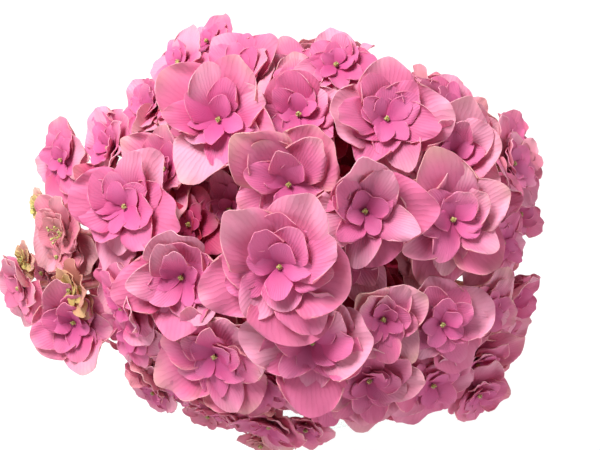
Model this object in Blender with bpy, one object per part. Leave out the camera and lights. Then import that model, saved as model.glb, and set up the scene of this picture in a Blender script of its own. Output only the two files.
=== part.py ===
"""A double pink mophead hydrangea, cut and stood in a small glass jar of water.

Metres, +Z up. The origin is the middle of the jar's flat underside. The flower head is a ball of
florets around HEAD_CENTRE. Its fullest side, the face, looks forwards (-Y) and up.
"""

import math

import bmesh
import bpy
from mathutils import Vector

JAR_RADIUS = 0.039
JAR_HEIGHT = 0.100
GLASS = 0.003
NECK_RADIUS = 0.031
SHOULDER_HEIGHT = 0.078
SHOULDER_SWEEP = 60
FOOT_CORNER = 0.007
RIM_RADIUS = 0.0033
JAR_SIDES = 48
WATER_HEIGHT = 0.058
FIT_GAP = 0.0003

STEM_RADIUS = 0.0034
STEM_SIDES = 10
HEAD_CENTRE = Vector((0.0, -0.025, 0.165))
FACE_RISE = math.radians(60)
FORK_DROP = 0.014
RAY_REACH = 0.033
RAY_RADIUS = 0.0017
KNUCKLE_RADIUS = 0.0039
RAY_SIDES = 8
STEM_FOOT = Vector((0.006, 0.020, 0.0085))
STEM_AT_RIM = Vector((0.001, 0.001, JAR_HEIGHT))
STEM_LEAN = Vector((0.0, -0.35, 1.0))

PEDICEL_RADIUS = 0.0009
PEDICEL_SIDES = 6
PEDICEL_BEND = 0.046
PEDICEL_SPREAD = 0.9
NECK_LENGTH = 0.0065
DISH_DEPTH = 0.0012
SEPAL_THICKNESS = 0.0011
RIM_RISE = 0.0028
WHORL_RISE = 0.0044
HEART_RISE = 0.0026
WHORL_SHARE = 0.42
PETAL_POINTS = 12
SEPAL_NOTCH = 0.80
STALK_GAP = 0.0014
CELL_GAP = 0.00025

# Florets on the face, in rows from its top to its bottom. Each is its angle to the right of the
# face's middle, its angle above it, its distance from the head's centre and its width in
# millimetres, and how far it turns from looking straight out (0) to looking where the face does (1).
FACE_FLORETS = [
    (-80, 56, 75, 24, 0.0), (-41, 48, 66, 28, 0.5), (-130, 71, 58, 24, 0.0), (1, 48, 67, 27, 0.4),
    (-14, 42, 64, 26, 0.1), (109, 50, 57, 25, -0.1), (99, 38, 61, 24, -0.1), (44, 35, 64, 25, 0.3),
    (-80, 40, 67, 29, 0.2), (-97, 33, 75, 26, -0.1), (-33, 27, 72, 38, 0.6), (-11, 31, 66, 31, 0.5),
    (14, 27, 71, 34, 0.5), (33, 19, 69, 32, 0.7), (67, 18, 66, 30, 0.25),
    (-95, 14, 97, 28, -0.3), (-75, 19, 79, 28, 0.3), (-56, 16, 66, 28, 0.4), (-58, 5, 77, 37, 0.6),
    (-11, 10, 73, 36, 0.8), (7, 4, 71, 33, 0.8), (28, 2, 74, 35, 0.7), (52, -4, 66, 26, 0.3),
    (-80, -1, 91, 30, 0.6), (-41, -12, 72, 37, 0.6), (-12, -8, 80, 43, 1.0), (4, -6, 65, 28, 0.8),
    (27, -8, 61, 22, 0.5), (-82, -20, 93, 32, 0.8), (-59, -18, 80, 27, 0.2),
    (-37, -33, 72, 38, 0.5), (-6, -27, 74, 40, 0.7), (13, -23, 69, 29, 0.6), (30, -24, 71, 31, 0.6),
    (48, -22, 69, 25, 0.4), (72, -21, 65, 25, 0.3), (-88, -37, 78, 27, 0.0),
    (-75, -46, 74, 28, 0.2), (-28, -47, 65, 27, 0.3), (12, -42, 69, 32, 0.5), (38, -44, 70, 30, 0.4),
    (74, -42, 67, 30, 0.4), (-75, -58, 71, 27, 0.2), (-45, -66, 70, 26, 0.3), (-2, -50, 67, 28, 0.2),
    (70, -69, 63, 27, 0.0),
]
# Florets round the back. Each is its bearing clockwise from straight ahead, seen from above, its
# angle above level, its distance from the head's centre, its width in millimetres and how far it
# turns up.
BACK_FLORETS = [
    (180, 46, 56, 32, 0.1), (148, 24, 55, 32, 0.1), (-150, 26, 65, 34, 0.1), (180, 14, 59, 33, 0.0),
    (118, 2, 62, 33, 0.1), (-123, 0, 72, 34, 0.1), (150, -8, 62, 33, 0.0), (-152, -6, 68, 35, 0.0),
    (180, -20, 64, 33, 0.0), (92, -22, 65, 31, 0.1), (-94, -24, 71, 32, 0.1),
]


def start_empty():
    """Removes every object of the opened scene."""
    for found in list(bpy.data.objects):
        bpy.data.objects.remove(found, do_unlink=True)


def painted(name, colour, roughness, transmission=0.0):
    """A material of one colour, or the one already made by that name."""
    if name in bpy.data.materials:
        return bpy.data.materials[name]
    material = bpy.data.materials.new(name)
    material.use_nodes = True
    shader = material.node_tree.nodes["Principled BSDF"]
    shader.inputs["Base Color"].default_value = (*colour, 1.0)
    shader.inputs["Roughness"].default_value = roughness
    shader.inputs["Metallic"].default_value = 0.0
    shader.inputs["Transmission Weight"].default_value = transmission
    return material


def object_from(name, shape, material, crease=40):
    """Links a named object that holds the shape, with its faces out and round parts smooth."""
    bmesh.ops.recalc_face_normals(shape, faces=shape.faces)
    mesh = bpy.data.meshes.new(name)
    shape.to_mesh(mesh)
    shape.free()
    mesh.shade_smooth()
    mesh.set_sharp_from_angle(angle=math.radians(crease))
    made = bpy.data.objects.new(name, mesh)
    made.data.materials.append(material)
    bpy.context.scene.collection.objects.link(made)
    return made


def turned(name, profile, material, sides=JAR_SIDES):
    """Turns an outline of (radius, height) about Z. Its two ends lie on the axis."""
    shape = bmesh.new()
    rings = []
    for radius, height in profile[1:-1]:
        steps = [math.tau * step / sides for step in range(sides)]
        rings.append([shape.verts.new((radius * math.cos(a), radius * math.sin(a), height)) for a in steps])
    for low, high in zip(rings, rings[1:]):
        for step in range(sides):
            after = (step + 1) % sides
            shape.faces.new((low[step], low[after], high[after], high[step]))
    for ring, height in ((rings[0], profile[0][1]), (rings[-1], profile[-1][1])):
        pole = shape.verts.new((0.0, 0.0, height))
        for step in range(sides):
            shape.faces.new((pole, ring[step], ring[(step + 1) % sides]))
    return object_from(name, shape, material)


def arc(centre, radius, start, end, steps):
    """Points of an outline along a round stretch, from one angle in degrees to another."""
    points = []
    for step in range(steps + 1):
        angle = math.radians(start + (end - start) * step / steps)
        points.append((centre[0] + radius * math.cos(angle), centre[1] + radius * math.sin(angle)))
    return points


def jar_outline(inset):
    """The jar's side from its underside to its shoulder, moved inwards by the inset."""
    corner = FOOT_CORNER - inset / 2
    radius = JAR_RADIUS - inset
    sweep = JAR_RADIUS - NECK_RADIUS
    side = arc((radius - corner, corner + inset), corner, -90, 0, 4)
    side += arc((radius - sweep, SHOULDER_HEIGHT), sweep, 0, SHOULDER_SWEEP, 4)
    return side


def make_jar():
    """A plain round jar: flat foot, straight side, rounded shoulder, short neck and a rolled rim."""
    neck_foot = (JAR_HEIGHT + SHOULDER_HEIGHT) / 2
    outside = [(0.0, 0.0)] + jar_outline(0.0) + [(NECK_RADIUS, neck_foot)]
    rim = arc((NECK_RADIUS, JAR_HEIGHT - RIM_RADIUS), RIM_RADIUS, -60, 90, 5)
    inner_neck = [(NECK_RADIUS - GLASS, JAR_HEIGHT - GLASS / 2), (NECK_RADIUS - GLASS, neck_foot)]
    inside = jar_outline(GLASS)
    inside.reverse()
    profile = outside + rim + inner_neck + inside + [(0.0, GLASS)]
    return turned("jar", profile, painted("clear_glass", (0.92, 0.95, 0.94), 0.03, 1.0))


def ring_round(shape, centre, along, across, radii):
    """A closed ring of corners about a line, one for each radius given."""
    along = along.normalized()
    across = (across - along * across.dot(along)).normalized()
    other = along.cross(across)
    corners = []
    for step, radius in enumerate(radii):
        angle = math.tau * step / len(radii)
        way = math.cos(angle) * across + math.sin(angle) * other
        corners.append(shape.verts.new(centre + way * radius))
    return corners


def join_rings(shape, first, second):
    """Walls between two rings, the second with as many corners as the first or twice as many."""
    count = len(first)
    ratio = len(second) // count
    for step in range(count):
        after = (step + 1) % count
        if ratio == 1:
            shape.faces.new((first[step], first[after], second[after], second[step]))
            continue
        near, middle, far = second[2 * step], second[2 * step + 1], second[(2 * step + 2) % len(second)]
        shape.faces.new((first[step], middle, near))
        shape.faces.new((first[step], first[after], middle))
        shape.faces.new((first[after], far, middle))


def close_ring(shape, ring, tip):
    """A fan of triangles from a ring to one point."""
    point = shape.verts.new(tip)
    for step in range(len(ring)):
        shape.faces.new((ring[step], ring[(step + 1) % len(ring)], point))


def tube(shape, route, radii, sides):
    """A round bar along the route, with a flat end at each end."""
    across = Vector((1.0, 0.13, 0.31))
    rings = []
    for index, point in enumerate(route):
        along = route[min(index + 1, len(route) - 1)] - route[max(index - 1, 0)]
        rings.append(ring_round(shape, point, along, across, [radii[index]] * sides))
    for first, second in zip(rings, rings[1:]):
        join_rings(shape, first, second)
    close_ring(shape, rings[0], route[0])
    close_ring(shape, rings[-1], route[-1])


def from_face(side, lift):
    """A direction from the head's centre, by its angles right of and above the middle of the face."""
    side, lift = math.radians(side), math.radians(lift)
    up = Vector((0.0, math.sin(FACE_RISE), math.cos(FACE_RISE)))
    right = Vector((1.0, 0.0, 0.0))
    return (
        right * math.sin(side) * math.cos(lift)
        + up * math.sin(lift)
        + face_direction() * math.cos(side) * math.cos(lift)
    )


def face_direction():
    return Vector((0.0, -math.cos(FACE_RISE), math.sin(FACE_RISE)))


def from_level(bearing, height):
    """A direction from the head's centre, by its bearing seen from above and its angle above level."""
    bearing, height = math.radians(bearing), math.radians(height)
    return Vector((
        math.sin(bearing) * math.cos(height),
        -math.cos(bearing) * math.cos(height),
        math.sin(height),
    ))


def floret_seats():
    """Where each floret sits: its direction, distance, width and the way it looks."""
    seats = []
    for side, lift, reach, width, turn in FACE_FLORETS:
        out = from_face(side, lift)
        look = (out * (1 - turn) + face_direction() * turn).normalized()
        seats.append((out, reach / 1000, width / 1000, look))
    for bearing, height, reach, width, turn in BACK_FLORETS:
        out = from_level(bearing, height)
        look = (out * (1 - turn) + Vector((0.0, 0.0, 1.0)) * turn).normalized()
        seats.append((out, reach / 1000, width / 1000, look))
    return seats


def stem_route():
    """The cut stem's middle line, from the jar's floor, over its rim and up to the fork."""
    fork = HEAD_CENTRE - STEM_LEAN.normalized() * FORK_DROP
    points = []
    for step in range(9):
        share = step / 8
        low, high = STEM_FOOT.lerp(STEM_AT_RIM, share), STEM_AT_RIM.lerp(fork, share)
        points.append(low.lerp(high, share))
    return points


def ray_tips():
    """The ends of the head's main branches, as directions from its centre: one, six and eight."""
    tips = [from_level(0, 78)]
    for step in range(6):
        tips.append(from_level(360 * (step + 0.5) / 6, 38))
    for step in range(8):
        tips.append(from_level(360 * (step + 0.25) / 8, -2))
    return tips


def make_stem():
    """The stem and the rays that fork from its top, grown as one piece."""
    green = painted("stem_green", (0.25, 0.36, 0.12), 0.55)
    route = stem_route()
    radii = [STEM_RADIUS * (1.0 - 0.15 * index / (len(route) - 1)) for index in range(len(route))]
    shape = bmesh.new()
    tube(shape, route, radii, STEM_SIDES)
    stem = object_from("stem", shape, green)
    rays = bpy.data.collections.new("rays")
    bpy.context.scene.collection.children.link(rays)
    rays.hide_render = True
    fork = route[-1] - (route[-1] - route[-2]).normalized() * STEM_RADIUS
    for number, out in enumerate(ray_tips()):
        tip = HEAD_CENTRE + out * RAY_REACH
        run = (tip - fork).normalized()
        stations = [fork, fork.lerp(tip, 0.5), tip - run * KNUCKLE_RADIUS * 1.6]
        widths = [RAY_RADIUS * 1.25, RAY_RADIUS, RAY_RADIUS]
        for turn in (-45, 0, 45, 75):
            stations.append(tip + run * KNUCKLE_RADIUS * math.sin(math.radians(turn)))
            widths.append(KNUCKLE_RADIUS * math.cos(math.radians(turn)))
        ray_shape = bmesh.new()
        tube(ray_shape, stations, widths, RAY_SIDES)
        ray = object_from(f"ray_{number:02d}", ray_shape, green)
        bpy.context.scene.collection.objects.unlink(ray)
        rays.objects.link(ray)
        ray.hide_render = True
        ray.display_type = "WIRE"
    union = stem.modifiers.new("rays", "BOOLEAN")
    union.operation = "UNION"
    union.operand_type = "COLLECTION"
    union.collection = rays
    union.solver = "EXACT"
    return stem


def make_water():
    """The water, a hair clear of the glass, with a pocket for the part of the stem that it covers."""
    inset = GLASS + FIT_GAP
    side = [point for point in jar_outline(inset) if point[1] < WATER_HEIGHT]
    profile = [(0.0, inset)] + side + [(JAR_RADIUS - inset, WATER_HEIGHT), (0.0, WATER_HEIGHT)]
    water = turned("water", profile, painted("clear_water", (0.93, 0.97, 0.97), 0.02, 1.0))
    pocket = bmesh.new()
    route = stem_route()
    start = route[0] - (route[1] - route[0]).normalized() * FIT_GAP
    widths = [(STEM_RADIUS + FIT_GAP) * 1.06] * len(route)
    tube(pocket, [start] + route[1:], widths, STEM_SIDES)
    cutter = object_from("stem_pocket", pocket, water.data.materials[0])
    cutter.hide_render = True
    cutter.display_type = "WIRE"
    cut = water.modifiers.new("pocket", "BOOLEAN")
    cut.operation = "DIFFERENCE"
    cut.object = cutter
    cut.solver = "EXACT"
    return water


def cell_walls(seats):
    """For each floret, the planes through the head's centre that part it from all its neighbours.

    A plane lies between two florets in proportion to the angles that their widths span.
    """
    spans = [math.atan(width / 2 / reach) for _, reach, width, _ in seats]
    walls = []
    for index, (out, _, _, _) in enumerate(seats):
        planes = []
        for other, (far, _, _, _) in enumerate(seats):
            if other == index:
                continue
            away = (far - out * far.dot(out)).normalized()
            turn = out.angle(far) * spans[index] / (spans[index] + spans[other])
            planes.append(away * math.cos(turn) - out * math.sin(turn))
        walls.append(planes)
    return walls


def room(point, way, planes, margin):
    """How far a point seen from the head's centre may move one way before it meets a wall."""
    least = 1.0
    for plane in planes:
        closing = way.dot(plane)
        if closing > 1e-6:
            least = min(least, (-margin - point.dot(plane)) / closing)
    return max(least, 0.0)


def pulled_inside(point, goal, planes, margin):
    """The point nearest the goal, on the line to it, that keeps the margin from every wall."""
    way = goal - point
    length = way.length
    return point + way * min(1.0, room(point, way / length, planes, margin) / length)


def make_floret(name, seat, planes, tips, material):
    """One floret: a four-sepalled dish round a raised inner whorl, on a thin stalk to its ray."""
    out, reach, width, look = seat
    heart = out * reach
    across = Vector((0.31, 0.17, 1.0))
    across = (across - look * across.dot(look)).normalized()
    other = look.cross(across)
    shape = bmesh.new()

    tip = max(tips, key=lambda ray: ray.dot(out)) * RAY_REACH
    straight = out * PEDICEL_BEND
    bend = pulled_inside(straight, tip.lerp(straight, PEDICEL_SPREAD), planes, STALK_GAP)
    foot = tip + (bend - tip).normalized() * (KNUCKLE_RADIUS + FIT_GAP)
    neck = heart - look * NECK_LENGTH
    stalk = [(foot, bend - foot), (bend, neck - foot), (neck, look)]
    rings = []
    for point, along in stalk:
        radii = [PEDICEL_RADIUS] * PEDICEL_SIDES
        rings.append(ring_round(shape, HEAD_CENTRE + point, along, across, radii))

    half = width / 2
    rim_levels = (RIM_RISE, RIM_RISE + SEPAL_THICKNESS)
    reaches = []
    for step in range(PETAL_POINTS):
        angle = math.tau * step / PETAL_POINTS
        way = math.cos(angle) * across + math.sin(angle) * other
        full = half * (SEPAL_NOTCH if step % 3 == 0 else 1.0)
        spare = [room(heart + look * level, way, planes, CELL_GAP) for level in rim_levels]
        reaches.append(min(full, *spare))
    inner = min([WHORL_SHARE * half] + [2 * WHORL_SHARE * value for value in reaches])
    profile = [(-DISH_DEPTH, 0.50), (rim_levels[0], 1.0), (rim_levels[1], 0.99), (SEPAL_THICKNESS, 0.70)]
    for level, share in profile:
        radii = [value * share for value in reaches]
        rings.append(ring_round(shape, HEAD_CENTRE + heart + look * level, look, across, radii))
    whorl = HEAD_CENTRE + heart + look * WHORL_RISE
    rings.append(ring_round(shape, whorl, look, across, [inner] * PETAL_POINTS))

    for first, second in zip(rings, rings[1:]):
        join_rings(shape, first, second)
    close_ring(shape, rings[0], HEAD_CENTRE + foot)
    close_ring(shape, rings[-1], HEAD_CENTRE + heart + look * HEART_RISE)
    return object_from(name, shape, material)


def make_head():
    """Every floret, in its own cell of the ball."""
    seats = floret_seats()
    walls = cell_walls(seats)
    tips = ray_tips()
    pink = painted("sepal_pink", (0.80, 0.30, 0.47), 0.6)
    for number, (seat, planes) in enumerate(zip(seats, walls), start=1):
        make_floret(f"floret_{number:02d}", seat, planes, tips, pink)


start_empty()
make_jar()
make_stem()
make_water()
make_head()
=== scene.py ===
"""A double pink mophead hydrangea, cut and stood in a small glass jar of water."""

import math

import bmesh
import bpy
from mathutils import Matrix, Vector


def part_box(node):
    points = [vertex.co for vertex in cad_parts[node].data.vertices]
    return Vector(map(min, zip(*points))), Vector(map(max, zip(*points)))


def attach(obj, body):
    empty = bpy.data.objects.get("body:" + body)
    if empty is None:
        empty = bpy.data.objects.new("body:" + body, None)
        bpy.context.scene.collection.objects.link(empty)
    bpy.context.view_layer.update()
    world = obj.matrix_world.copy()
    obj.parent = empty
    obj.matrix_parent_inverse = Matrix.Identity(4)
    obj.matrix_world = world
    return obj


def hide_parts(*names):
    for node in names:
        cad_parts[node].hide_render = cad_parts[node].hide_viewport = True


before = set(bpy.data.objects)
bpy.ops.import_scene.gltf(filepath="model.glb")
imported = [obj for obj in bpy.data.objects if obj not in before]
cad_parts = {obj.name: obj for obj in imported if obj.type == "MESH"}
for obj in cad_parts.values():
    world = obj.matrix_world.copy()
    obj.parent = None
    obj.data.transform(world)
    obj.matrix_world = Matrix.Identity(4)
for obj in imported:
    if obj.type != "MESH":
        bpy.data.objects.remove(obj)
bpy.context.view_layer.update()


# ---- The jar ----------------------------------------------------------------------------------
# A small food jar of clear pressed glass: flat foot, straight side, rounded shoulder, short neck
# and a rolled rim. Its wall is turned from one outline, so the inside follows the outside.

class Wire:
    """One output of a node, or a new tree's start. Arithmetic on it adds Math nodes to its tree."""

    def __init__(self, tree, socket=None):
        self.tree = tree
        self.socket = socket

    def node(self, kind, settings=(), values=(), output=0):
        """Adds a node, sets its settings and then its sockets, and returns one of its outputs."""
        made = self.tree.nodes.new(kind)
        for name, value in dict(settings).items():
            if name != "stops":
                setattr(made, name, value)
                continue
            stops = made.color_ramp.elements
            stops.remove(stops[1])
            stops[0].position, stops[0].color = value[0][0], (*value[0][1], 1.0)
            for place, colour in value[1:]:
                stops.new(place).color = (*colour, 1.0)
        for name, value in dict(values).items():
            for one in value if isinstance(value, list) else [value]:
                if isinstance(one, Wire):
                    self.tree.links.new(one.socket, made.inputs[name])
                else:
                    made.inputs[name].default_value = one
        return Wire(self.tree, made.outputs[output] if made.outputs else None)

    def also(self, output):
        """Another output of the same node."""
        return Wire(self.tree, self.socket.node.outputs[output])

    def maths(self, operation, *values):
        return self.node("ShaderNodeMath", {"operation": operation}, enumerate(values))

    def __add__(self, other):
        return self.maths("ADD", self, other)

    def __sub__(self, other):
        return self.maths("SUBTRACT", self, other)

    def __rsub__(self, other):
        return self.maths("SUBTRACT", other, self)

    def __mul__(self, other):
        return self.maths("MULTIPLY", self, other)

    def __truediv__(self, other):
        return self.maths("DIVIDE", self, other)

    def __pow__(self, other):
        return self.maths("POWER", self, other)

    __radd__ = __add__
    __rmul__ = __mul__


def finish_of(name, shader_values):
    """A material whose Principled shader has the values given. Returns it with its wires."""
    material = bpy.data.materials.new(name)
    material.use_nodes = True
    material.node_tree.nodes.clear()
    start = Wire(material.node_tree)
    shader = start.node("ShaderNodeBsdfPrincipled", {}, shader_values)
    return material, start, shader


def link_shader(start, shader):
    start.node("ShaderNodeOutputMaterial", {}, {"Surface": shader})


def set_input(wire, name, value):
    """Joins a value to a socket of the node that the wire comes from."""
    wire.tree.links.new(value.socket, wire.socket.node.inputs[name])


def arc(centre, radius, start, end, steps):
    """Points of an outline along a round stretch, from one angle in degrees to another."""
    angles = [math.radians(start + (end - start) * step / steps) for step in range(steps + 1)]
    return [(centre[0] + radius * math.cos(a), centre[1] + radius * math.sin(a)) for a in angles]


def turned(name, outline, sides, material):
    """A body turned about Z from an outline of (radius, height) whose two ends lie on the axis."""
    shape = bmesh.new()
    corners = [shape.verts.new((radius, 0.0, height)) for radius, height in outline]
    edges = [shape.edges.new(pair) for pair in zip(corners, corners[1:])]
    bmesh.ops.spin(
        shape, geom=corners + edges, cent=(0, 0, 0), axis=(0, 0, 1), angle=math.tau, steps=sides,
    )
    bmesh.ops.remove_doubles(shape, verts=shape.verts, dist=1e-6)
    bmesh.ops.recalc_face_normals(shape, faces=shape.faces)
    mesh = bpy.data.meshes.new(name)
    shape.to_mesh(mesh)
    shape.free()
    mesh.shade_smooth()
    mesh.set_sharp_from_angle(angle=math.radians(40))
    mesh.materials.append(material)
    made = bpy.data.objects.new(name, mesh)
    bpy.context.scene.collection.objects.link(made)
    return made


jar_radius, _, jar_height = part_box("jar")[1]
GLASS = 0.003
NECK_RADIUS = 0.031
NECK_FLARE = 0.0006
SHOULDER_HEIGHT = 0.078
SHOULDER_SWEEP = 60
FOOT_CORNER = 0.007
RIM_RADIUS = 0.0033
BEND_STEPS = 10
RIM_STEPS = 12
LIP_STEPS = 6
TURN_SIDES = 128


def jar_side(inset):
    """The jar's side from its underside to the top of its shoulder, moved inwards by the inset."""
    corner = FOOT_CORNER - inset / 2
    radius = jar_radius - inset
    sweep = jar_radius - NECK_RADIUS
    side = arc((radius - corner, corner + inset), corner, -90, 0, BEND_STEPS)
    return side + arc((radius - sweep, SHOULDER_HEIGHT), sweep, 0, SHOULDER_SWEEP, BEND_STEPS)


def glass_material():
    material, start, shader = finish_of("clear glass", {
        "Base Color": (0.97, 0.99, 0.985, 1.0),
        "Roughness": 0.02,
        "IOR": 1.5,
        "Transmission Weight": 1.0,
    })
    place = start.node("ShaderNodeTexCoord", output="Object")
    waves = start.node("ShaderNodeTexNoise", {}, {"Vector": place, "Scale": 55.0, "Detail": 2.0})
    bump = start.node("ShaderNodeBump", {}, {"Height": waves, "Strength": 0.05, "Distance": 0.002})
    set_input(shader, "Normal", bump)
    link_shader(start, shader)
    return material


neck_foot = (jar_height + SHOULDER_HEIGHT) / 2
half_glass = GLASS / 2
jar_outline = [(0.0, 0.0)] + jar_side(0.0) + [(NECK_RADIUS + NECK_FLARE, neck_foot)]
jar_outline += arc((NECK_RADIUS, jar_height - RIM_RADIUS), RIM_RADIUS, -60, 90, RIM_STEPS)
jar_outline += arc(
    (NECK_RADIUS - half_glass, jar_height - half_glass), half_glass, 90, 180, LIP_STEPS)
jar_outline += [(NECK_RADIUS - GLASS, neck_foot)] + jar_side(GLASS)[::-1] + [(0.0, GLASS)]
jar = turned("jar", jar_outline, TURN_SIDES, glass_material())
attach(jar, "root")
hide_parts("jar")


# ---- The water --------------------------------------------------------------------------------
# Tap water, a little over half way up the jar. It wets the glass, so its surface climbs a little
# where it meets the wall.

WETTED = 0.00006
MENISCUS = 0.0016
CLIMB_STEPS = 8


def water_material():
    material, start, shader = finish_of("clear water", {
        "Base Color": (0.98, 0.995, 0.99, 1.0),
        "Roughness": 0.0,
        "IOR": 1.333,
        "Transmission Weight": 1.0,
    })
    place = start.node("ShaderNodeTexCoord", output="Object")
    ripple = start.node("ShaderNodeTexNoise", {}, {"Vector": place, "Scale": 30.0, "Detail": 1.0})
    bump = start.node("ShaderNodeBump", {}, {"Height": ripple, "Strength": 0.02, "Distance": 0.002})
    set_input(shader, "Normal", bump)
    link_shader(start, shader)
    return material


water_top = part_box("water")[1][2]
water_wall = [point for point in jar_side(GLASS - WETTED) if point[1] < water_top - MENISCUS]
wall_radius = jar_radius - GLASS + WETTED
climb_radius = MENISCUS * 1.6
climb = arc(
    (wall_radius - climb_radius, water_top + climb_radius), climb_radius, 0, -90, CLIMB_STEPS)
water_outline = [(0.0, GLASS - WETTED)] + water_wall + climb + [(0.0, water_top)]
water = turned("water", water_outline, TURN_SIDES, water_material())
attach(water, "root")
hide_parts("water")


# ---- The stem and its rays --------------------------------------------------------------------
# One green, slightly woody stem, cut across. It forks inside the head into rays that end in
# knuckles, where the florets' stalks spring.

def mixed(wire, share, under, over, blend="MIX"):
    """A share of one colour laid over another."""
    return wire.node("ShaderNodeMix", {"data_type": "RGBA", "blend_type": blend}, {
        "Factor": share, 6: under, 7: over}, 2)


def stem_material():
    material, start, shader = finish_of("stem skin", {"Roughness": 0.5, "Subsurface Weight": 0.1})
    place = start.node("ShaderNodeTexCoord", output="Object")
    streaks = start.node("ShaderNodeMapping", {}, {"Vector": place, "Scale": (900.0, 900.0, 60.0)})
    fibres = start.node("ShaderNodeTexNoise", {}, {"Vector": streaks, "Scale": 1.0, "Detail": 4.0})
    blotch = start.node("ShaderNodeTexNoise", {}, {"Vector": place, "Scale": 120.0, "Detail": 3.0})
    skin = start.node("ShaderNodeValToRGB", {"stops": [
        (0.25, (0.20, 0.27, 0.08)), (0.55, (0.32, 0.40, 0.13)), (0.80, (0.50, 0.47, 0.22)),
    ]}, {"Fac": 0.5 * fibres + 0.5 * blotch})
    height = start.node("ShaderNodeSeparateXYZ", {}, {"Vector": place}, "Z")
    flush = start.node("ShaderNodeMapRange", {}, {
        "Value": height, "From Min": 0.13, "From Max": 0.20, "To Min": 0.0, "To Max": 0.8})
    set_input(shader, "Base Color", mixed(start, flush, skin, (0.42, 0.16, 0.13, 1.0)))
    bump = start.node("ShaderNodeBump", {}, {"Height": fibres, "Strength": 0.4, "Distance": 0.0003})
    set_input(shader, "Normal", bump)
    link_shader(start, shader)
    return material


def merged_copy(node):
    """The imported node's mesh with its loose triangles joined at their corners."""
    shape = bmesh.new()
    shape.from_mesh(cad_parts[node].data)
    bmesh.ops.remove_doubles(shape, verts=shape.verts, dist=2e-6)
    return shape


def made_plain(holder):
    """The object's mesh as its modifiers leave it, with the modifiers gone."""
    graph = bpy.context.evaluated_depsgraph_get()
    mesh = bpy.data.meshes.new_from_object(holder.evaluated_get(graph), depsgraph=graph)
    holder.modifiers.clear()
    holder.data = mesh
    mesh.name = holder.name
    return holder


SKIN_GRAIN = 0.0006
SKIN_PASSES = 8

stem_shape = merged_copy("stem")
stem_mesh = bpy.data.meshes.new("stem")
stem_shape.to_mesh(stem_mesh)
stem_shape.free()
stem = bpy.data.objects.new("stem", stem_mesh)
bpy.context.scene.collection.objects.link(stem)
skin = stem.modifiers.new("skin", "REMESH")
skin.mode = "VOXEL"
skin.voxel_size = SKIN_GRAIN
ease = stem.modifiers.new("ease", "SMOOTH")
ease.factor = 0.5
ease.iterations = SKIN_PASSES
made_plain(stem)
stem.data.shade_smooth()
stem.data.materials.append(stem_material())
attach(stem, "root")
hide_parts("stem")


# ---- The sepals -------------------------------------------------------------------------------
# What look like petals are thin coloured sepals in whorls: broad ones outside, small ones inside.
# Each is a shell a quarter of a millimetre thick, paler underneath, with a fine pale edge.

SEPAL_THICKNESS = 0.00025


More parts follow.
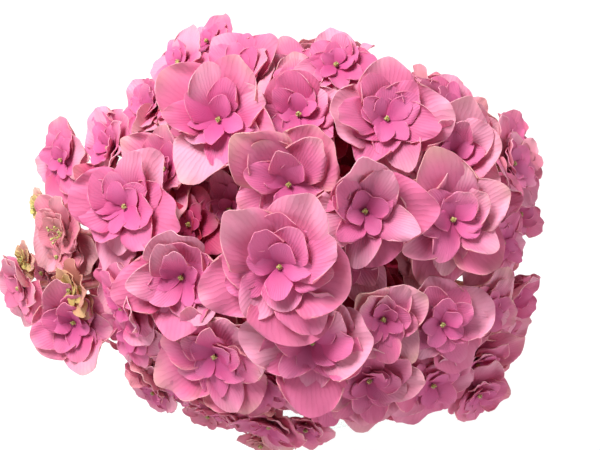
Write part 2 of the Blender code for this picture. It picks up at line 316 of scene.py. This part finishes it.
def sepal_material(name, inner, outer, palest, dusty, roughness, through):
    """Tissue that is deepest at the sepal's foot, paler outwards, with veins, a dusty margin and
    painted shade.
    """
    material, start, shader = finish_of(name, {
        "Roughness": roughness,
        "Specular IOR Level": 0.22,
        "Sheen Weight": 0.03,
        "Sheen Roughness": 0.5,
    })
    blade = start.node("ShaderNodeAttribute", {"attribute_name": "blade"}, output="Vector")
    across = start.node("ShaderNodeSeparateXYZ", {}, {"Vector": blade})
    along, chance = across.also("Y"), across.also("Z")
    bloom = start.node("ShaderNodeAttribute", {"attribute_name": "bloom"}, output="Vector")
    dust = start.node("ShaderNodeSeparateXYZ", {}, {"Vector": bloom})
    depth, green = dust.also("Y"), dust.also("Z")
    place = start.node("ShaderNodeTexCoord", output="Object")
    mottle = start.node("ShaderNodeTexNoise", {}, {"Vector": place, "Scale": 260.0, "Detail": 4.0})
    clouds = start.node("ShaderNodeTexNoise", {}, {"Vector": place, "Scale": 70.0, "Detail": 2.0})
    layer = start.node("ShaderNodeAttribute", {"attribute_name": "layer"}, output="Fac")

    # Veins fan out from the foot: even lines in the ratio of across to along, bent a little.
    fan = across * 9.0 / (0.35 + along) + 1.6 * mottle + 3.0 * chance
    vein = 1.0 - start.maths("ABSOLUTE", start.maths("SINE", fan * 2.6)) ** 0.5
    reach = along + 0.25 * clouds + 0.25 * chance - 0.25 * layer - 0.1
    # A higher depth moves the sepal towards its foot colour: tone that differs by floret, and past
    # 1 painted shade.
    fade = start.node("ShaderNodeMapRange", {"interpolation_type": "SMOOTHSTEP"}, {
        "Value": reach + 0.25 * (0.5 - depth), "From Min": 0.0, "From Max": 0.85})
    ground = mixed(start, fade, (*inner, 1.0), (*outer, 1.0))
    ground = mixed(start, 0.55 * layer, ground, (0.74, 0.165, 0.43, 1.0))

    # Some sepals are paler towards their tips, and the outer ones are dusty along the margin.
    pale = start.node("ShaderNodeMapRange", {"interpolation_type": "SMOOTHSTEP"}, {
        "Value": (chance + 0.8 * clouds) * reach * (1.0 - 0.5 * layer),
        "From Min": 0.62, "From Max": 1.20, "To Max": 0.7})
    ground = mixed(start, pale, ground, (*palest, 1.0))
    margin = start.maths("MAXIMUM", start.maths("ABSOLUTE", across) ** 3.0, along ** 3.0)
    dusted = start.node("ShaderNodeMapRange", {"interpolation_type": "SMOOTHSTEP"}, {
        "Value": margin * (0.2 + clouds) * dust * (1.0 - 0.7 * layer),
        "From Min": 0.1, "From Max": 1.1})
    ground = mixed(start, dusted, ground, (*dusty, 1.0))

    # A late floret is still green, most of all inside. Depth past 1 darkens towards crimson:
    # painted shade.
    greening = start.maths("MINIMUM", green * (0.5 + clouds) * (0.6 + layer), 1.0)
    ground = mixed(start, greening, ground, (0.72, 0.68, 0.22, 1.0))
    lines = start.maths("MAXIMUM", 0.15 * vein + 0.32 * mottle - 0.10, 0.0)
    veined = mixed(start, lines, ground, (0.84, 0.42, 0.60, 1.0), "MULTIPLY")
    depth_and_painted_shade = start.node("ShaderNodeClamp", {}, {"Value": depth - 1.0})
    veined = mixed(start, depth_and_painted_shade, veined, (0.70, 0.13, 0.23, 1.0), "MULTIPLY")
    set_input(shader, "Base Color", veined)
    bump = start.node("ShaderNodeBump", {}, {
        "Height": 0.6 * vein + 0.6 * mottle, "Strength": 0.35, "Distance": 0.0004})
    set_input(shader, "Normal", bump)
    # The light let through is pale, except where the painted shade darkens the floret.
    lit = mixed(start, 0.5 * (1.0 - depth_and_painted_shade), veined, (*palest, 1.0))
    glow = start.node("ShaderNodeBsdfTranslucent", {}, {"Color": lit, "Normal": bump})
    body = start.node("ShaderNodeMixShader", {}, {0: through, 1: shader, 2: glow})
    link_shader(start, body)
    return material


# Each: foot, blade, palest and dusty colours, roughness, and the share of the light let through.
sepal_face = sepal_material(
    "sepal face", (0.61, 0.03, 0.18), (0.735, 0.19, 0.37), (0.84, 0.44, 0.58),
    (0.75, 0.44, 0.41), 0.5, 0.36)
sepal_back = sepal_material(
    "sepal back", (0.80, 0.25, 0.36), (0.88, 0.44, 0.50), (0.92, 0.60, 0.64),
    (0.86, 0.60, 0.50), 0.6, 0.6)
sepal_edge = sepal_material(
    "sepal edge", (0.80, 0.26, 0.38), (0.86, 0.42, 0.50), (0.89, 0.58, 0.64),
    (0.84, 0.56, 0.49), 0.55, 0.4)


def new_tree(name, inputs):
    """An empty Geometry Nodes tree. Returns it, its start and its named inputs."""
    tree = bpy.data.node_groups.new(name, "GeometryNodeTree")
    for label, kind, value in inputs:
        item = tree.interface.new_socket(label, in_out="INPUT", socket_type="NodeSocket" + kind)
        item.default_value = value
    tree.interface.new_socket("Geometry", in_out="OUTPUT", socket_type="NodeSocketGeometry")
    entry = tree.nodes.new("NodeGroupInput")
    given = {label: Wire(tree, entry.outputs[label]) for label, _, _ in inputs}
    return tree, Wire(tree), given


def whorl_tree():
    """One whorl: sepals of one size set evenly round a floret's axis, each a little different."""
    tree, start, given = new_tree("whorl of sepals", [
        ("Count", "Int", 4), ("Length", "Float", 0.02), ("Breadth", "Float", 0.02),
        ("Rise", "Float", 0.3), ("Arch", "Float", 0.2), ("Cup", "Float", 0.1),
        ("Wave", "Float", 0.05), ("Point", "Float", 0.06), ("Claw", "Float", 0.3),
        ("Height", "Float", 0.0), ("Turn", "Float", 0.0), ("Unevenness", "Float", 1.0),
        ("Layer", "Float", 0.0), ("Twist", "Float", 0.1), ("Lean", "Float", 0.2),
        ("Seed", "Int", 0), ("Columns", "Int", 9), ("Rows", "Int", 9),
    ])
    points = start.node("GeometryNodeMeshLine", {}, {
        "Count": given["Count"], "Offset": (0.0, 0.0, 0.0)})
    points = start.node("GeometryNodeStoreNamedAttribute", {"data_type": "FLOAT"}, {
        "Geometry": points, "Name": "number", "Value": start.node("GeometryNodeInputIndex")})
    sheet = start.node("GeometryNodeMeshGrid", {}, {
        "Size X": 2.0, "Size Y": 1.0, "Vertices X": given["Columns"], "Vertices Y": given["Rows"]})
    sheets = start.node("GeometryNodeInstanceOnPoints", {}, {"Points": points, "Instance": sheet})
    sheets = start.node("GeometryNodeRealizeInstances", {}, {"Geometry": sheets})
    number = start.node(
        "GeometryNodeInputNamedAttribute", {"data_type": "FLOAT"}, {"Name": "number"})

    def chance(extra, spread=1.0):
        """A number from -spread to spread that is the same all over one sepal."""
        drawn = start.node("FunctionNodeRandomValue", {"data_type": "FLOAT"}, {
            2: -1.0, 3: 1.0, "ID": number, "Seed": given["Seed"] + extra}, 1)
        return drawn * given["Unevenness"] * spread

    spot = start.node("ShaderNodeSeparateXYZ", {}, {
        "Vector": start.node("GeometryNodeInputPosition")})
    across = start.maths("SINE", spot * (math.pi / 2))
    along = spot.also("Y") + 0.5
    from_middle = start.maths("ABSOLUTE", across)
    tip = given["Point"] * (1.0 - across * across) ** 4.0 * along ** 4.0 * (0.5 + chance(1, 0.7))
    round_off = 1.0 - start.maths("SQRT", 1.0 - 0.97 * across * across)
    reach = along - (0.46 + chance(11, 0.08)) * round_off * along ** 2.0 + tip
    length = given["Length"] * (1.0 + chance(2, 0.15))
    half = given["Breadth"] * 0.5 * (1.0 + chance(3, 0.15))
    swell = start.maths("SINE", along * (0.68 * math.pi)) ** 0.8
    side = across * half * (given["Claw"] + (1.0 - given["Claw"]) * swell)

    # The blade's middle line is an arc: it leaves at the rise and bends by the arch. Sepals on the
    # floret's upper side stand more upright by the lean.
    angle = (number + chance(9, 0.10)) * math.tau / given["Count"] + given["Turn"]
    cosine, sine = start.maths("COSINE", angle), start.maths("SINE", angle)
    rise = given["Rise"] + given["Lean"] * cosine + chance(4, 0.20)
    arch = given["Arch"] + chance(5, 0.24) + 0.003
    slope = rise + arch * reach
    outwards = length * (start.maths("SINE", slope) - start.maths("SINE", rise)) / arch
    upwards = length * (start.maths("COSINE", rise) - start.maths("COSINE", slope)) / arch

    # Across, it is cupped, its margin waves, and it rolls a little to one side.
    wrinkle = start.node("ShaderNodeTexNoise", {}, {
        "Vector": start.node("ShaderNodeCombineXYZ", {}, {
            "X": across * 0.8, "Y": along * 1.3, "Z": number * 3.7 + given["Seed"] * 1.3}),
        "Scale": 1.6, "Detail": 1.0})
    ripple = start.maths("SINE", across * 5.2 + along * 2.5 + chance(6, 3.1))
    frill = start.maths("SINE", across * 8.0 + along * 7.0 + chance(12, 3.1))
    fold = (
        given["Cup"] * from_middle ** 2.0 * half * along
        + given["Wave"] * length * ripple * from_middle * along ** 2.0
        + 1.6 * given["Wave"] * length * (wrinkle - 0.5) * along
        + (given["Twist"] + chance(7, 0.05)) * side
        + given["Wave"] * 0.45 * length * frill * start.maths("MAXIMUM", from_middle, along) ** 5.0
    )
    radius = outwards - start.maths("SINE", slope) * fold + 0.0006
    height = upwards + start.maths("COSINE", slope) * fold + given["Height"]
    side = side + chance(8, 0.10) * length * reach ** 2.0
    place = start.node("ShaderNodeCombineXYZ", {}, {
        "X": radius * cosine + side * sine,
        "Y": radius * sine - side * cosine,
        "Z": height + 0.0002 * number,
    })
    blade = start.node("ShaderNodeCombineXYZ", {}, {
        "X": across, "Y": reach, "Z": 0.5 + chance(10, 0.5)})
    sheets = start.node("GeometryNodeStoreNamedAttribute", {"data_type": "FLOAT_VECTOR"}, {
        "Geometry": sheets, "Name": "blade", "Value": blade})
    sheets = start.node("GeometryNodeStoreNamedAttribute", {"data_type": "FLOAT"}, {
        "Geometry": sheets, "Name": "layer", "Value": given["Layer"]})
    sheets = start.node("GeometryNodeSetPosition", {}, {"Geometry": sheets, "Position": place})

    # The sheet becomes a closed shell: its underside is the sheet turned over.
    under = start.node("GeometryNodeFlipFaces", {}, {"Mesh": sheets})
    under = start.node("GeometryNodeSetMaterial", {}, {"Geometry": under, "Material": sepal_back})
    shell = start.node("GeometryNodeExtrudeMesh", {}, {
        "Mesh": sheets, "Offset Scale": SEPAL_THICKNESS, "Individual": False})
    side_faces, top_faces = shell.also("Side"), shell.also("Top")
    shell = start.node("GeometryNodeSetMaterial", {}, {
        "Geometry": shell, "Selection": top_faces, "Material": sepal_face})
    shell = start.node("GeometryNodeSetMaterial", {}, {
        "Geometry": shell, "Selection": side_faces, "Material": sepal_edge})
    shell = start.node("GeometryNodeJoinGeometry", {}, {"Geometry": [under, shell]})
    shell = start.node("GeometryNodeMergeByDistance", {}, {"Geometry": shell, "Distance": 1e-6})
    start.node("NodeGroupOutput", {}, {"Geometry": shell})
    return tree


whorl = whorl_tree()


# ---- The floret -------------------------------------------------------------------------------
# One double floret as it grew: a stalk from its ray's knuckle, four whorls of sepals one inside
# another, and in the middle a tiny lobed button, with short stamens where it is still yellowish.

def button_material():
    material, start, shader = finish_of("button", {"Roughness": 0.45, "Subsurface Weight": 0.15})
    place = start.node("ShaderNodeTexCoord", output="Object")
    grain = start.node("ShaderNodeTexNoise", {}, {"Vector": place, "Scale": 900.0, "Detail": 3.0})
    colour = start.node("ShaderNodeValToRGB", {"stops": [
        (0.30, (0.26, 0.20, 0.05)), (0.55, (0.42, 0.36, 0.10)), (0.80, (0.66, 0.56, 0.26)),
    ]}, {"Fac": grain})
    set_input(shader, "Base Color", colour)
    bump = start.node("ShaderNodeBump", {}, {"Height": grain, "Strength": 0.5, "Distance": 0.0003})
    set_input(shader, "Normal", bump)
    link_shader(start, shader)
    return material


def stalk_material():
    material, start, shader = finish_of("stalk skin", {"Roughness": 0.5, "Subsurface Weight": 0.2})
    place = start.node("ShaderNodeTexCoord", output="Object")
    grain = start.node("ShaderNodeTexNoise", {}, {"Vector": place, "Scale": 400.0, "Detail": 3.0})
    colour = start.node("ShaderNodeValToRGB", {"stops": [
        (0.30, (0.55, 0.12, 0.20)), (0.60, (0.72, 0.34, 0.34)), (0.85, (0.80, 0.62, 0.42)),
    ]}, {"Fac": grain})
    set_input(shader, "Base Color", colour)
    bump = start.node("ShaderNodeBump", {}, {"Height": grain, "Strength": 0.3, "Distance": 0.0003})
    set_input(shader, "Normal", bump)
    link_shader(start, shader)
    return material


STALK_RADIUS = 0.0009
STALK_STRAIGHT = 0.014
STALK_TOP = 0.0004
BUTTON_RADIUS = 0.00095
BUTTON_RISE = 0.0034
STAMEN_LENGTH = 0.0035
STAMEN_RISE = 0.0036
STAMEN_RING = 0.0016
SEED_STEP = 17
button_skin = button_material()
stalk_skin = stalk_material()


def floret_tree():
    """A whole floret, with its axis up Z and its whorls at the origin."""
    tree, start, given = new_tree("double floret", [
        ("Width", "Float", 0.04), ("Openness", "Float", 1.0), ("Turn", "Float", 0.0),
        ("Outer sepals", "Int", 4), ("Middle sepals", "Int", 5), ("Inner sepals", "Int", 4),
        ("Stamens", "Int", 0), ("Dust", "Float", 0.5), ("Depth", "Float", 0.5),
        ("Green", "Float", 0.0), ("Twist", "Float", 0.1), ("Lean", "Float", 0.25),
        ("Foot", "Vector", (0.0, 0.0, -0.03)),
        ("Columns", "Int", 21), ("Seed", "Int", 0),
    ])
    width, openness = given["Width"], given["Openness"]
    closing = 1.0 - openness
    seed = given["Seed"] * SEED_STEP

    # Each whorl, from the outermost: sepals, length and breadth as shares of the width, rise,
    # cup, height in millimetres, turn, and its mesh's fineness as a share of the outermost's.
    whorls = [
        (given["Outer sepals"], 0.55, 0.56, 0.16, 0.14, -0.9, 0.0, 1.00),
        (given["Middle sepals"], 0.44, 0.38, 0.25, 0.18, 0.0, 0.5, 0.86),
        (given["Middle sepals"], 0.335, 0.28, 0.35, 0.22, 0.8, 1.1, 0.71),
        (given["Inner sepals"], 0.23, 0.20, 0.48, 0.30, 1.6, 0.3, 0.52),
    ]
    grown_whorls = []
    for level, (count, length, breadth, rise, cup, height, turn, fine) in enumerate(whorls):
        grown_whorls.append(start.node("GeometryNodeGroup", {"node_tree": whorl}, {
            "Count": count, "Length": width * length, "Breadth": width * breadth,
            "Rise": rise + closing * 0.75, "Arch": -0.7 * rise, "Cup": cup,
            "Wave": 0.078 - 0.010 * level, "Point": 0.12 - 0.03 * level,
            "Claw": 0.22, "Height": height / 1000, "Turn": given["Turn"] + turn,
            "Layer": level / 3, "Twist": given["Twist"], "Lean": given["Lean"],
            "Seed": seed + level, "Columns": given["Columns"] * fine,
            "Rows": given["Columns"] * 0.66 * fine}))

    ball = start.node("GeometryNodeMeshUVSphere", {}, {
        "Segments": 20, "Rings": 10, "Radius": BUTTON_RADIUS})
    spot = start.node("ShaderNodeSeparateXYZ", {}, {
        "Vector": start.node("GeometryNodeInputPosition")})
    bearing = start.maths("ARCTAN2", spot.also("Y"), spot)
    lumps = start.node("ShaderNodeTexNoise", {}, {
        "Vector": start.node("GeometryNodeInputPosition"), "Scale": 700.0, "Detail": 2.0})
    size = start.node("FunctionNodeRandomValue", {"data_type": "FLOAT"}, {
        2: 0.40, 3: 1.0, "ID": 0, "Seed": seed}, 1)
    lobes = size * (0.70 + 0.12 * start.maths("COSINE", bearing * 4.0) + 0.7 * lumps)
    button = start.node("GeometryNodeSetPosition", {}, {"Geometry": ball, "Position": start.node(
        "ShaderNodeCombineXYZ", {}, {
            "X": spot * lobes, "Y": spot.also("Y") * lobes,
            "Z": spot.also("Z") * lobes * 0.8 + BUTTON_RISE})})

    ring = start.node("GeometryNodeMeshCircle", {}, {
        "Vertices": given["Stamens"], "Radius": STAMEN_RING})
    rod = start.node("GeometryNodeMeshCone", {}, {
        "Vertices": 5, "Radius Top": 0.0002, "Radius Bottom": 0.00016, "Depth": STAMEN_LENGTH})
    head = start.node("GeometryNodeMeshIcoSphere", {}, {"Radius": 0.00055, "Subdivisions": 1})
    head = start.node("GeometryNodeTransform", {}, {
        "Geometry": head, "Translation": (0.0, 0.0, STAMEN_LENGTH), "Scale": (1.0, 1.0, 0.7)})
    stamen = start.node("GeometryNodeJoinGeometry", {}, {"Geometry": [rod, head]})
    lean = start.node("FunctionNodeRandomValue", {"data_type": "FLOAT_VECTOR"}, {
        0: (-0.5, -0.5, 0.0), 1: (0.5, 0.5, 0.0), "Seed": seed}, 0)
    stamens = start.node("GeometryNodeInstanceOnPoints", {}, {
        "Points": ring, "Instance": stamen, "Rotation": lean})
    stamens = start.node("GeometryNodeRealizeInstances", {}, {"Geometry": stamens})
    stamens = start.node("GeometryNodeTransform", {}, {
        "Geometry": stamens, "Translation": (0.0, 0.0, STAMEN_RISE)})
    heart = start.node("GeometryNodeJoinGeometry", {}, {"Geometry": [button, stamens]})
    heart = start.node("GeometryNodeSetMaterial", {}, {"Geometry": heart, "Material": button_skin})

    foot = given["Foot"]
    low = start.node("ShaderNodeVectorMath", {"operation": "SCALE"}, {0: foot, "Scale": 0.6})
    line = start.node("GeometryNodeCurvePrimitiveBezierSegment", {}, {
        "Resolution": 14, "Start": foot, "Start Handle": low,
        "End Handle": (0.0, 0.0, -STALK_STRAIGHT), "End": (0.0, 0.0, STALK_TOP)})
    share = start.node("GeometryNodeSplineParameter")
    flare = STALK_RADIUS * (0.85 + 0.5 * share ** 14.0)
    profile = start.node("GeometryNodeCurvePrimitiveCircle", {}, {"Resolution": 8, "Radius": 1.0})
    stalk = start.node("GeometryNodeCurveToMesh", {}, {
        "Curve": line, "Profile Curve": profile, "Scale": flare, "Fill Caps": True})
    stalk = start.node("GeometryNodeSetMaterial", {}, {"Geometry": stalk, "Material": stalk_skin})

    whole = start.node("GeometryNodeJoinGeometry", {}, {
        "Geometry": [stalk, heart, *reversed(grown_whorls)]})
    bloom = start.node("ShaderNodeCombineXYZ", {}, {
        "X": given["Dust"], "Y": given["Depth"], "Z": given["Green"]})
    whole = start.node("GeometryNodeStoreNamedAttribute", {"data_type": "FLOAT_VECTOR"}, {
        "Geometry": whole, "Name": "bloom", "Value": bloom})
    whole = start.node("GeometryNodeSetShadeSmooth", {}, {"Geometry": whole})
    whole = start.node("GeometryNodeRealizeInstances", {}, {"Geometry": whole})
    start.node("NodeGroupOutput", {}, {"Geometry": whole})
    return tree


double_floret = floret_tree()


def grown(name, tree, values):
    """A plain mesh object grown by a tree from the named values."""
    holder = bpy.data.objects.new(name, bpy.data.meshes.new(name))
    bpy.context.scene.collection.objects.link(holder)
    growth = holder.modifiers.new("growth", "NODES")
    growth.node_group = tree
    for item in tree.interface.items_tree:
        if item.in_out == "INPUT" and item.name in values:
            growth[item.identifier] = values[item.name]
    return made_plain(holder)


WHORL_RISE = 0.0044
HEAD_CENTRE = Vector((0.0, -0.025, 0.165))
UPRIGHT = Vector((0.0, 0.25, 1.0))
FACE_RISE = math.radians(60)
face = Vector((0.0, -math.cos(FACE_RISE), math.sin(FACE_RISE)))
face_up = Vector((0.0, math.sin(FACE_RISE), math.cos(FACE_RISE)))


def seat_of(node):
    """A packed floret's seat: the middle of its dish, the way it looks, its reach and its foot."""
    shape = merged_copy(node)
    heart = max(shape.verts, key=lambda corner: len(corner.link_edges))
    whorl_ring = [edge.other_vert(heart).co for edge in heart.link_edges]
    middle = sum(whorl_ring, Vector()) / len(whorl_ring)
    look = (middle - heart.co).normalized()
    middle = middle - look * WHORL_RISE
    foot = max(shape.verts, key=lambda corner: (corner.co - middle).length).co.copy()
    spans = [corner.co - middle for corner in shape.verts if (corner.co - middle).dot(look) > 0]
    reach = max((span - look * span.dot(look)).length for span in spans)
    shape.free()
    return middle, look, reach, foot


def seated_floret(name, middle, look, foot, values):
    """A floret with its whorls at the middle, looking the way given, its stalk from the foot."""
    sideways = (UPRIGHT - look * UPRIGHT.dot(look)).normalized()
    turn = Matrix((sideways, look.cross(sideways), look)).transposed().to_4x4()
    seat = Matrix.Translation(middle) @ turn
    piece = grown(name, double_floret, {"Foot": tuple(seat.inverted() @ foot), **values})
    piece.data.transform(seat)
    piece.data.set_sharp_from_angle(angle=math.radians(60))
    return piece


# The first nodes are the face of the head, and the rest are round its back. Three at the head's
# edge hang turned towards its face, by the share of the face's direction added to their own.
FACING = 46
LEAN = 0.25
BACK_SHARE = 0.86
YELLOWISH = (24, 28)
TILTED = {1: 0.9, 10: 1.3, 16: 1.8}
floret_nodes = sorted(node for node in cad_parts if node.startswith("floret"))
for number, node in enumerate(floret_nodes, start=1):
    middle, look, reach, foot = seat_of(node)
    look = (look + TILTED.get(number, 0.0) * face).normalized()
    yellowish = number in YELLOWISH
    share = BACK_SHARE if number == 1 or number > FACING else 1.0
    piece = seated_floret(node, middle, look, foot, {
        "Width": reach * 2.0 * share,
        "Seed": number,
        "Turn": number * 2.4,
        "Outer sepals": 4 + (number % 4 == 2),
        "Middle sepals": 5 + (number % 3 == 1),
        "Inner sepals": 4 + (number % 5 > 1),
        "Openness": 0.82 + 0.18 * math.sin(number * 1.7),
        "Dust": 0.5 + 0.5 * math.sin(number * 2.9),
        "Depth": 0.5 + 0.5 * math.sin(number * 5.3),
        "Twist": 0.09 * (-1) ** number,
        "Lean": LEAN if number <= FACING else 0.0,
        "Green": 0.16 * yellowish,
        "Stamens": 7 * yellowish,
    })
    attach(piece, "root")
    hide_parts(node)


# ---- The florets under the florets ------------------------------------------------------------
# Between and beneath the open florets sit smaller ones that get little light, and those in front
# are painted dark crimson as painted shade. Round the back they sit further out. They are too many
# to be solids of their own, so they are only shown.

UNDER_COUNT = 96
UNDER_DEPTHS = (0.50, 0.72, 0.60)
UNDER_LOWEST = -0.42
UNDER_NEARNESS = 14.0
UNDER_WIDTH = 0.029
BACK_FROM = 0.3
BACK_DEPTH = 0.86


def away(seat):
    """The direction of a seat from the head's centre."""
    return (seat[0] - HEAD_CENTRE).normalized()


def nearest_foot(out):
    """The foot of the stalk whose floret lies nearest to a direction."""
    return max(seats, key=lambda seat: out.dot(away(seat)))[3]


seats = [seat_of(node) for node in floret_nodes]
golden = math.pi * (3.0 - math.sqrt(5.0))
for number in range(UNDER_COUNT):
    level = 1.0 - 2.0 * (number + 0.5) / UNDER_COUNT
    if level < UNDER_LOWEST:
        break
    bearing = golden * number
    flat = math.sqrt(1.0 - level * level)
    out = Vector((flat * math.cos(bearing), flat * math.sin(bearing), level))
    weights = [math.exp(UNDER_NEARNESS * out.dot(away(seat))) for seat in seats]
    around = sum(w * (seat[0] - HEAD_CENTRE).length for w, seat in zip(weights, seats))
    behind = out.y > BACK_FROM
    depth = max(UNDER_DEPTHS[number % 3], BACK_DEPTH * behind) * around / sum(weights)
    name = f"under_floret_{number + 1:02d}"
    piece = seated_floret(name, HEAD_CENTRE + out * depth, out, nearest_foot(out), {
        "Width": UNDER_WIDTH + 0.004 * math.sin(number * 3.1),
        "Seed": 200 + number,
        "Turn": number * 1.9,
        "Openness": 0.9,
        # Painted shade: those in front get a depth of 2, which darkens them towards crimson.
        "Depth": 0.8 if behind else 2.0,
        "Dust": 0.2,
        "Columns": 11,
        "Outer sepals": 4,
        "Middle sepals": 4,
        "Inner sepals": 3,
    })
    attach(piece, "root")


# ---- The late florets -------------------------------------------------------------------------
# A few small florets open late, at the edges of the head and in its gaps. Some are still
# yellow-green. Each is set by its angles right of and above the middle of the head's face.

def from_face(side, lift):
    """A direction from the head's centre, by its angles right of and above the face's middle."""
    side, lift = math.radians(side), math.radians(lift)
    across = Vector((math.sin(side) * math.cos(lift), 0.0, 0.0))
    return across + face_up * math.sin(lift) + face * (math.cos(side) * math.cos(lift))


LATE_TURN = 0.9

# Side and lift in degrees, distance and width in millimetres, openness, greenness and depth, which
# past 1 is painted shade.
LATE_FLORETS = [
    (-89, -6, 106, 13, 0.9, 0.7, 0.0), (-92, 4, 102, 12, 0.9, 0.7, 0.0),
    (-89, -11, 108, 27, 0.9, 0.05, 0.2), (-77, -13, 90, 20, 0.9, 0.7, 1.3),
    (-66, -6, 70, 28, 0.9, 0.0, 1.4), (-72, -27, 77, 24, 0.8, 0.0, 0.8),
    (-82, -6, 92, 22, 0.9, 0.2, 0.8), (-66, -14, 76, 24, 0.9, 0.0, 1.2),
    (-78, 8, 78, 26, 0.9, 0.0, 1.6), (-60, -32, 68, 26, 0.9, 0.0, 1.0),
    (-50, 22, 60, 26, 0.9, 0.0, 1.0), (50, 6, 62, 26, 0.9, 0.0, 0.8),
    (74, 4, 64, 24, 0.8, 0.0, 0.5), (60, 30, 60, 24, 0.8, 0.1, 0.6),
    (-48, 1, 60, 24, 0.9, 0.0, 1.5), (-36, 6, 54, 22, 0.9, 0.0, 0.8),
    (-80, 62, 62, 22, 0.8, 0.1, 0.2), (30, 54, 56, 22, 0.9, 0.0, 0.6),
    (-20, 54, 60, 22, 0.8, 0.0, 0.4), (-88, 49, 72, 22, 0.8, 0.0, 0.4),
    (20, -60, 62, 24, 0.8, 0.1, 0.6), (58, -58, 64, 24, 0.8, 0.0, 0.6),
    (-50, -56, 66, 25, 0.8, 0.1, 0.5), (-90, -43, 82, 21, 0.8, 0.0, 0.3),
    (-90, -57, 76, 20, 0.8, 0.1, 0.3), (80, -48, 75, 24, 0.8, 0.0, 0.3),
    (-80, -72, 77, 14, 0.8, 0.2, 0.4), (-68, 45, 76, 21, 0.8, 0.0, 0.4),
    (84, -41, 71, 22, 0.8, 0.1, 0.4), (-40, -79, 68, 20, 0.8, 0.0, 0.4),
    (-96, -9, 102, 24, 0.9, 0.1, 1.2), (-94, -8, 85, 28, 0.9, 0.1, 1.5),
    (88, -33, 68, 22, 0.8, 0.0, 0.5), (85, 25, 68, 21, 0.8, 0.0, 0.3),
    (80, 19, 69, 20, 0.8, 0.1, 0.2),
]
for number, (side, lift, far, wide, openness, green, depth_and_painted_shade) in enumerate(LATE_FLORETS, start=1):
    out = from_face(side, lift)
    look = (out + LATE_TURN * face).normalized()
    middle = HEAD_CENTRE + out * (far / 1000)
    piece = seated_floret(f"late_floret_{number:02d}", middle, look, nearest_foot(out), {
        "Width": wide / 1000,
        "Seed": 400 + number,
        "Turn": number * 2.1,
        "Openness": openness,
        "Green": green,
        # A depth past 1 is painted shade.
        "Depth": depth_and_painted_shade,
        "Dust": 0.6,
        "Columns": 15,
        "Outer sepals": 4,
        "Middle sepals": 4,
        "Inner sepals": 4,
    })
    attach(piece, "root")


# ---- The table, the light and the camera ------------------------------------------------------
# A white table in a bright room, lit by a window high at the left and by the pale walls at both
# sides. The camera looks straight at the head's face, from 60 degrees above level.

def table_material():
    material, start, shader = finish_of("white table", {
        "Roughness": 0.8, "Emission Strength": 0.97})
    place = start.node("ShaderNodeTexCoord", output="Object")
    grain = start.node("ShaderNodeTexNoise", {}, {"Vector": place, "Scale": 40.0, "Detail": 3.0})
    colour = start.node("ShaderNodeMapRange", {}, {"Value": grain, "To Min": 0.96, "To Max": 1.0})
    white = start.node("ShaderNodeCombineColor", {}, {0: colour, 1: colour, 2: colour})
    grey = mixed(start, 1.0, white, (0.12, 0.12, 0.12, 1.0), "MULTIPLY")
    set_input(shader, "Base Color", grey)
    set_input(shader, "Emission Color", white)
    link_shader(start, shader)
    return material


bpy.ops.mesh.primitive_plane_add(size=6.0)
table = bpy.context.object
table.name = "table"
table.data.materials.append(table_material())

CAMERA_DISTANCE = 0.46
VIEW_WIDTH = 0.21
HEAD_ASIDE = 0.0105
HEAD_BELOW = 0.001

aim = HEAD_CENTRE - Vector((HEAD_ASIDE, 0.0, 0.0)) + face_up * HEAD_BELOW
camera_data = bpy.data.cameras.new("camera")
camera_data.lens = camera_data.sensor_width * CAMERA_DISTANCE / VIEW_WIDTH
camera_data.clip_start = 0.01
camera = bpy.data.objects.new("camera", camera_data)
bpy.context.scene.collection.objects.link(camera)
camera.location = aim + face * CAMERA_DISTANCE
camera.rotation_euler = (-face).to_track_quat("-Z", "Y").to_euler()
bpy.context.scene.camera = camera

world = bpy.data.worlds.new("room")
bpy.context.scene.world = world
world.use_nodes = True
world.node_tree.nodes.clear()
air = Wire(world.node_tree)
dim = air.node("ShaderNodeBackground", {}, {"Color": (1.0, 1.0, 1.0, 1.0), "Strength": 0.19})
pale = air.node("ShaderNodeBackground", {}, {"Color": (1.0, 1.0, 1.0, 1.0), "Strength": 0.85})
seen = air.node("ShaderNodeLightPath", output="Is Camera Ray")
air.node("ShaderNodeOutputWorld", {}, {
    "Surface": air.node("ShaderNodeMixShader", {}, {0: seen, 1: dim, 2: pale})})


def soft_light(name, place, size, power):
    """A square soft light that faces the head."""
    light = bpy.data.lights.new(name, "AREA")
    light.size = size
    light.energy = power
    lamp = bpy.data.objects.new(name, light)
    lamp.location = place
    lamp.rotation_euler = (HEAD_CENTRE - Vector(place)).to_track_quat("-Z", "Y").to_euler()
    bpy.context.scene.collection.objects.link(lamp)


soft_light("window", (-0.42, 0.20, 1.05), 0.42, 20.5)
soft_light("right wall", (0.95, -0.35, 0.45), 0.7, 6.0)
soft_light("left wall", (-0.80, -0.85, 0.30), 0.7, 6.0)
bpy.context.scene.view_settings.view_transform = "Standard"
